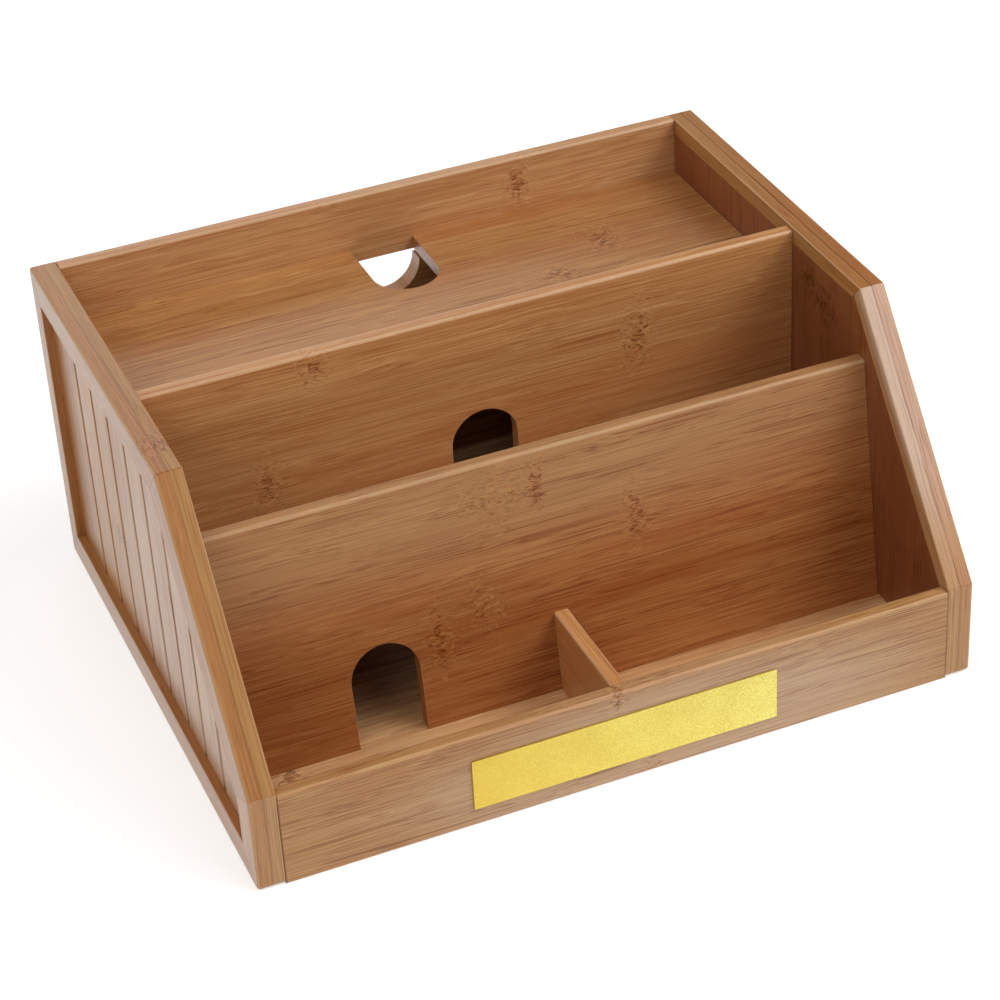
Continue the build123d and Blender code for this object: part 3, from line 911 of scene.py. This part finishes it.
@dataclass
class CrossBoards:
    """The boards that run from side to side, and the short partition."""

    half_length: float = 100.1
    thick: float = 4.5
    front_y: float = -89.2
    front_height: float = 30.2
    back_inner_y: float = 85.3
    deck_top: float = 83.0
    deck_arris: float = 0.25
    height: float = 101.0
    rear_front_y: float = 5.6
    rear_height: float = 100.0
    slot_floor_top: float = 36.5
    foot_y: float = -50.0
    lean: float = math.radians(8.5)
    divider_rise: float = 75.3
    arch_width: float = 20.5
    arch_length: float = 30.5
    front_arch_x: float = -53.6
    partition_top: float = 29.4
    partition_round: float = 0.8
    partition_arris: float = 0.15

    def keep(self, name: str, rings: np.ndarray, wear_and_painted_light: np.ndarray, material: Material) -> Object:
        """Makes and dresses the piece that stands for a node.

        Args:
            name: the node's name.
            rings: its points, in millimetres.
            wear_and_painted_light: how much of an eased edge each point is.
            material: its bamboo.

        Returns:
            The piece.
        """
        piece = shell(f"{name}_wood", rings, wear_and_painted_light)
        dress(piece, material)
        stand_for(piece, name)
        return piece

    def board(
        self,
        name: str,
        board: Board,
        origin: Sequence[float],
        up: Sequence[float],
        through: Sequence[float],
        bamboo: CarbonisedBamboo,
        seed: float,
        knuckles: Sequence[Knuckle],
    ) -> Object:
        """Makes one upright or leaning board.

        Args:
            name: the node's name.
            board: its shape.
            origin: where the middle of its lower front edge is.
            up: the way up the board, in the model's axes.
            through: the way through it, from the front.
            bamboo: its bamboo.
            seed: moves the bamboo's pattern.
            knuckles: the growth rings that show on it.

        Returns:
            The piece.
        """
        rings, wear_and_painted_light = board.rings()
        look = f"carbonised bamboo, {name.replace('_', ' ')}"
        material = bamboo.material(look, Lay.UPRIGHT_BOARD, seed, knuckles, half_length=self.half_length)
        return self.keep(name, placed(rings, origin, (X, up, through)), wear_and_painted_light, material)

    def deck(self, material: Material) -> Object:
        """Makes the tray's floor, its U slot open against the back board.

        Args:
            material: its bamboo.

        Returns:
            The piece.
        """
        slot = arch(0.0, 0.0, self.arch_width, self.arch_length)
        front = self.back_inner_y - self.rear_front_y - self.thick
        low = np.concatenate([[[-self.half_length, 0.0]], slot, [[self.half_length, 0.0]]])
        outline = np.concatenate([low, [[self.half_length, front], [-self.half_length, front]]])
        radius = np.full(len(outline), self.deck_arris)
        rings, wear_and_painted_light = plate_rings(outline, mitres(outline) * self.deck_arris, radius, self.thick)
        origin = (0.0, self.back_inner_y, self.deck_top)
        return self.keep("tray_deck", placed(rings, origin, (X, MINUS_Y, (0, 0, -1))), wear_and_painted_light, material)

    def partition(self, material: Material) -> Object:
        """Makes the short partition, from the front board to the leaning divider, which falls back by z tan a.

        Args:
            material: its bamboo.

        Returns:
            The piece.
        """
        front = self.front_y + self.thick
        foot, top = self.thick, self.partition_top
        lean_y = self.foot_y + (top - foot) * math.tan(self.lean)
        outline = np.array([(front, foot), (self.foot_y, foot), (lean_y, top), (front, top)])
        r, broken = self.partition_round, self.partition_arris
        radius = np.array([broken, broken, r, r])
        inward = mitres(outline) * broken
        inward[2:] = (0.0, -r)
        rings, wear_and_painted_light = plate_rings(outline, inward, radius, self.thick)
        origin = (-self.thick / 2, 0.0, 0.0)
        return self.keep("short_partition", placed(rings, origin, (Y, Z, X)), wear_and_painted_light, material)

    def build(self) -> list[Object]:
        """Makes and dresses every cross board.

        Returns:
            The pieces, from the front board to the partition.
        """
        half, thick = self.half_length, self.thick
        lowest = self.slot_floor_top - thick
        rear_arch = arch(0.0, 0.0, self.arch_width, self.arch_length + thick)
        front_arch = arch(self.front_arch_x, 0.0, self.arch_width, self.arch_length)
        deck_knuckles = [Knuckle(61, 56, 5, 8), Knuckle(41, 42, 6, 4)]
        return [
            self.board(
                "front_board",
                Board(half, self.front_height, thick, foot_round=0.8),
                (0, self.front_y, 0),
                Z,
                Y,
                FRONT,
                1.0,
                [Knuckle(-2, 29, 3, 5), Knuckle(8, 4, 3, 4, dense=False)],
            ),
            self.board(
                "back_board",
                Board(half, self.height - self.deck_top + thick, thick),
                (0, self.back_inner_y, self.deck_top - thick),
                Z,
                Y,
                GOLDEN,
                2.0,
                [Knuckle(46, 92, 4, 8)],
            ),
            self.board(
                "rear_divider",
                Board(half, self.rear_height - lowest, thick, opening=rear_arch),
                (0, self.rear_front_y, lowest),
                Z,
                Y,
                AMBER,
                4.0,
                [Knuckle(-50, 95, 4.5, 5), Knuckle(-67, 60, 4.5, 9), Knuckle(49, 79, 5, 11)],
            ),
            self.board(
                "front_divider",
                Board(half, self.divider_rise / math.cos(self.lean), thick, opening=front_arch),
                (0, self.foot_y, thick),
                (0, math.sin(self.lean), math.cos(self.lean)),
                (0, 1 / math.cos(self.lean), 0),
                RUDDY,
                5.0,
                [
                    Knuckle(-3.5, 69, 3, 8),
                    Knuckle(-15, 69, 9, 7, dense=False),
                    Knuckle(25, 52, 3.5, 10),
                    Knuckle(-36.5, 31, 3.8, 10),
                    Knuckle(-22, 37, 5, 7, dense=False),
                ],
            ),
            self.deck(
                PLAIN.material("carbonised bamboo, tray deck", Lay.FLAT_BOARD, 6.0, deck_knuckles, half_length=half)
            ),
            self.partition(AMBER.material("carbonised bamboo, partition", Lay.RAIL, 7.0)),
        ]


@dataclass
class Nameplate:
    """Bare satin plate of gold-coloured aluminium, fixed flat on the front board."""

    width: float = 91.5
    height: float = 16.4
    thick: float = 0.6
    foot: float = 5.9
    front_y: float = -89.2
    corner: float = 0.25
    rolled: float = 0.1

    def build(self) -> list[Object]:
        """Makes and dresses the plate, whose corners are quarter rounds, c + r (cos t, sin t).

        Returns:
            The one piece.
        """
        reach = np.array([self.width, self.height]) / 2 - self.corner
        corners = []
        for i, signs in enumerate(((1, 1), (-1, 1), (-1, -1), (1, -1))):
            turn = quarter_turn() + i * math.pi / 2
            corners.append(reach * signs + self.corner * np.stack([np.cos(turn), np.sin(turn)], axis=1))
        outline = np.concatenate(corners)
        radius = np.full(len(outline), self.rolled)
        rings, wear_and_painted_light = plate_rings(outline, mitres(outline) * self.rolled, radius, self.thick)
        origin = (0.0, self.front_y - self.thick, self.foot + self.height / 2)
        piece = shell("nameplate_metal", placed(rings, origin, (X, Z, Y)), wear_and_painted_light)
        # Blasting leaves the plate a soft grainy yellow, and a painted reflection makes it paler towards its right
        # end
        gold = SatinMetal(
            "gold-coloured aluminium, bead blasted",
            "#E5CA5E",
            "#C8AC4A",
            roughness=0.42,
            tooth=0.32,
            depth=0.02,
            cloudy=0.3,
            painted_reflection_end="#F4F090",
        )
        dress(piece, gold.material())
        stand_for(piece, "nameplate")
        return [piece]


@dataclass
class Carried:
    """The nodes that keep their own shape: the floors, the rear door, its battens and its small metalwork."""

    nodes: dict[str, Object]

    def build(self) -> list[Object]:
        """Dresses every node that nothing stands for.

        Returns:
            The nodes' objects.
        """
        dressed = []
        flat = PALE.material("carbonised bamboo, base board", Lay.FLAT_BOARD, 8.0, [Knuckle(-86, -52, 5, 8)])
        raised = PLAIN.material("carbonised bamboo, slot floor", Lay.FLAT_BOARD, 9.0)
        door = PLAIN.material(
            "carbonised bamboo, rear door",
            Lay.UPRIGHT_BOARD,
            10.0,
            [Knuckle(-62, 48, 4.5, 10), Knuckle(38, 24, 5, 9)],
        )
        batten = PLAIN.material("carbonised bamboo, battens", Lay.STILE, 11.0)
        dowel = BEECH.material("beech, turned", Lay.UPRIGHT_BOARD, 12.0)
        # Rolled brass has a soft yellow highlight and turned brass a tighter one. Nickel plate is smooth and nearly
        # white, and zinc plate is greyer and duller.
        brass = SatinMetal("brass, rolled and lacquered", "#D9B26A", "#B98E48", roughness=0.28).material()
        turned = SatinMetal("brass, turned", "#D2A75C", "#A8803F", roughness=0.24, tooth=0.15).material()
        nickel = SatinMetal("nickel plate over magnet", "#CFCFCB", "#A9A9A4", 0.2, tooth=0.5, depth=0.004).material()
        steel = SatinMetal("zinc-plated steel", "#BEC1C4", "#989DA2", roughness=0.33, tooth=0.4).material()
        given = (
            (flat, "base_board"),
            (raised, "slot_floor"),
            (door, "rear_door"),
            (batten, "left_stop_cleat right_stop_cleat"),
            (dowel, "left_dowels right_dowels"),
            (brass, "left_hinge_base_leaf left_hinge_door_leaf right_hinge_base_leaf right_hinge_door_leaf"),
            (turned, "hinge_pins base_hinge_screws door_hinge_screws"),
            (nickel, "catch_magnets"),
            (steel, "strike_plates"),
        )
        for material, names in given:
            for name in names.split():
                dress(self.nodes[name], material)
                dressed.append(self.nodes[name])
        return dressed


# Studio


@dataclass(frozen=True)
class SoftBox:
    """Square lamp that looks at the organizer from a distance.

    Its azimuth runs from the front to the right, so it hangs at d (cos e sin a, -cos e cos a, sin e).
    """

    name: str
    azimuth: float
    elevation: float
    side: float
    watts: float
    away: float = 1.6
    target: tuple[float, float, float] = (0.0, 0.0, 0.05)

    def build(self) -> None:
        """Hangs the lamp."""
        lamp = bpy.data.lights.new(self.name, "AREA")
        lamp.size = self.side
        lamp.energy = self.watts
        holder = bpy.data.objects.new(self.name, lamp)
        a, e = math.radians(self.azimuth), math.radians(self.elevation)
        back = np.array([math.cos(e) * math.sin(a), -math.cos(e) * math.cos(a), math.sin(e)]) * self.away
        holder.location = back + self.target
        holder.rotation_mode = "QUATERNION"
        holder.rotation_quaternion = Vector(Z).rotation_difference(back.tolist())
        bpy.context.scene.collection.objects.link(holder)


@dataclass(frozen=True)
class Studio:
    """Pale floor, white surround and soft lamps, with the camera where the picture was taken from."""

    focal: float = 2891.63
    eye: tuple[float, float, float] = (-250.069, -656.772, 510.808)
    right: tuple[float, float, float] = (0.920224, -0.388165, -0.050145)
    down: tuple[float, float, float] = (-0.255266, -0.498104, -0.828693)
    ahead: tuple[float, float, float] = (0.296692, 0.775383, -0.557453)
    frame: float = 1000.0
    sensor: float = 36.0
    cove_foot: float = 3.0
    cove_wide: float = 1.5
    cove_high: float = 1.2
    sides: int = 48
    lift: float = 0.50
    room: float = 0.056

    def camera(self) -> None:
        """Sets the camera up. Its columns are right, up and back, and its lens is focal / frame x sensor."""
        data = bpy.data.cameras.new("camera")
        data.sensor_width = self.sensor
        data.lens = self.focal / self.frame * self.sensor
        data.clip_start, data.clip_end = 0.05, 20.0
        holder = bpy.data.objects.new("camera", data)
        turn = np.stack([self.right, -np.array(self.down), -np.array(self.ahead)], axis=1)
        holder.matrix_world = Matrix.Translation(np.array(self.eye) * MM) @ Matrix(turn.tolist()).to_4x4()
        bpy.context.scene.collection.objects.link(holder)
        bpy.context.scene.camera = holder

    def floor(self) -> None:
        """Lays the pale floor, which sweeps up into a low cove all round.

        Its section, flat and then a quarter ellipse, is turned about the Z axis. Seen straight on or mirrored it is
        lifted to white, and the object's shade stays on it. Where the lamps no longer reach, it is lifted further.
        """
        turn = np.linspace(0, math.pi / 2, 9)
        out = np.concatenate([[0.0, 0.5, 1.5], self.cove_foot + self.cove_wide * np.sin(turn)])
        up = np.concatenate([[0.0] * 3, self.cove_high * (1 - np.cos(turn))])
        round_z = np.linspace(0, 2 * math.pi, self.sides, endpoint=False)
        points = np.stack(
            [np.outer(out, np.cos(round_z)), np.outer(out, np.sin(round_z)), np.outer(up, np.ones(self.sides))],
            axis=-1,
        )
        index = np.arange(points.shape[0] * self.sides).reshape(-1, self.sides)
        turned = np.roll(index, -1, axis=1)
        quads = np.stack([index[:-1], index[1:], turned[1:], turned[:-1]], axis=-1).reshape(-1, 4)
        mesh = bpy.data.meshes.new("floor")
        mesh.from_pydata(points.reshape(-1, 3).tolist(), [], quads.tolist())
        mesh.shade_smooth()
        floor = bpy.data.objects.new("floor", mesh)
        bpy.context.scene.collection.objects.link(floor)
        material, tree = blank("matt white paper")
        seen = camera = add(tree, "LightPath", out="Is Camera Ray")
        for ray in ("Is Glossy Ray", "Is Transmission Ray"):
            seen = add(tree, "Math", (seen, add(tree, "LightPath", out=ray)), operation="MAXIMUM")
        lift = add(tree, "Math", (seen, self.lift), operation="MULTIPLY")
        away = add(tree, "VectorMath", (add(tree, "TexCoord", out="Object"),), "Value", operation="LENGTH")
        more = add(tree, "MapRange", (away, 0.5, 2.5, 0.0, 0.6), interpolation_type="SMOOTHSTEP")
        lift = add(tree, "Math", (camera, more, lift), operation="MULTIPLY_ADD")
        paper = add(tree, "BsdfDiffuse", {"Color": linear("#EBEBEA")})
        glow = add(tree, "Emission", {"Color": linear("#FFFFFF"), "Strength": lift})
        add(tree, "OutputMaterial", {"Surface": add(tree, "AddShader", (paper, glow))})
        dress(floor, material)

    def surround(self) -> None:
        """Fills the room above the cove with soft even light, which the camera sees as white."""
        world = bpy.data.worlds.new("surround")
        world.use_nodes = True
        tree = world.node_tree
        tree.nodes.clear()
        camera = add(tree, "LightPath", out="Is Camera Ray")
        strength = add(tree, "MapRange", (camera, 0.0, 1.0, self.room, 1.0))
        glow = add(tree, "Background", {"Color": linear("#FFFFFF"), "Strength": strength})
        add(tree, "OutputWorld", {"Surface": glow})
        bpy.context.scene.world = world

    def build(self) -> None:
        """Sets the whole studio up."""
        bpy.context.scene.view_settings.view_transform = "Standard"
        self.camera()
        self.floor()
        self.surround()
        for lamp in (
            SoftBox("key", 58, 38, 1.0, 9.9),
            SoftBox("high_key", 60, 56, 1.0, 4.6),
            SoftBox("front", 28, 32, 0.6, 2.4),
            SoftBox("high_front", 0, 56, 1.0, 1.1),
            SoftBox("above", 300, 80, 0.9, 3.6),
            SoftBox("left", 303, 38, 0.8, 3.3),
            SoftBox("high_left", 300, 56, 1.0, 2.0),
            SoftBox("low_left", 315, 22, 1.0, 2.4),
            SoftBox("back_left", 225, 22, 1.0, 4.3),
            SoftBox("back", 174, 26, 0.9, 3.2),
        ):
            lamp.build()


def main() -> None:
    """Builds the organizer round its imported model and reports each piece, then sets the studio up."""
    logging.basicConfig(level=logging.INFO, format="%(name)s: %(message)s")
    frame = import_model()
    for part in (SideFrame(Hand.LEFT), SideFrame(Hand.RIGHT), CrossBoards(), Nameplate(), Carried(frame["nodes"])):
        for piece in part.build():
            log.info("%s: %s", type(part).__name__, piece.name)
    Studio().build()


if __name__ == "__main__":
    main()
